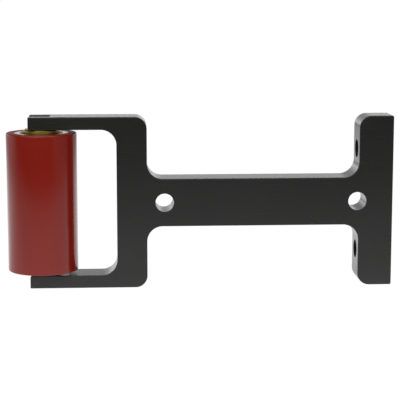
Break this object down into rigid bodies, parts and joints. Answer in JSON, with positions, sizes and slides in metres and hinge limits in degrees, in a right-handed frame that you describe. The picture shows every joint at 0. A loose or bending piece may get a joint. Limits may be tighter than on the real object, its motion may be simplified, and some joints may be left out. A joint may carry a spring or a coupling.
{
  "type": "belt grinder small-wheel yoke",
  "caption": "Flat milled fork with a drilled mounting foot that carries a rubber-covered belt wheel on ball bearings.",
  "frame": {"origin": "centre of the flat mounting face of the foot, midway between its two bolt holes", "axes": "+X is the outward normal of the mounting face, so the fork and the wheel lie towards -X; Y goes through the thickness of the plate; Z runs along the wheel's axle"},
  "size_m": [0.143, 0.026, 0.0636],
  "materials": {
    "anodised_aluminium": "black anodised, satin",
    "axle_steel": "ground",
    "black_steel": "black oxide",
    "brass": "turned, dull",
    "hub_aluminium": "turned",
    "red_rubber": "ground, satin",
    "bearing_steel": "ground and polished",
    "ball_steel": "polished",
    "cage_brass": "machined",
    "shield_steel": "rolled sheet"
  },
  "bodies": {
    "yoke": {"yoke": "anodised_aluminium", "axle": "axle_steel", "upper_set_screw": "black_steel", "lower_set_screw": "black_steel", "upper_spacer_disc": "brass", "lower_spacer_disc": "brass", "bearing_spacer_tube": "hub_aluminium", "upper_inner_ring": "bearing_steel", "lower_inner_ring": "bearing_steel"},
    "wheel": {"wheel_hub": "hub_aluminium", "wheel_cover": "red_rubber", "upper_outer_ring": "bearing_steel", "lower_outer_ring": "bearing_steel", "upper_outer_shield": "shield_steel", "upper_inner_shield": "shield_steel", "lower_outer_shield": "shield_steel", "lower_inner_shield": "shield_steel"},
    "upper_ball_set": {"upper_balls": "ball_steel", "upper_cage": "cage_brass"},
    "lower_ball_set": {"lower_balls": "ball_steel", "lower_cage": "cage_brass"}
  },
  "joints": [
    {"name": "wheel_spin", "type": "hinge", "parent": "yoke", "child": "wheel", "pos_m": [-0.13, 0, 0], "axis": [0, 0, 1], "continuous": true},
    {"name": "upper_ball_orbit", "type": "hinge", "parent": "yoke", "child": "upper_ball_set", "pos_m": [-0.13, 0, 0.02201], "axis": [0, 0, 1], "continuous": true},
    {"name": "lower_ball_orbit", "type": "hinge", "parent": "yoke", "child": "lower_ball_set", "pos_m": [-0.13, 0, -0.02201], "axis": [0, 0, 1], "continuous": true}
  ],
  "couplings": [
    {"joint": "upper_ball_orbit", "follows": "wheel_spin", "ratio": 0.6071},
    {"joint": "lower_ball_orbit", "follows": "wheel_spin", "ratio": 0.6071}
  ]
}
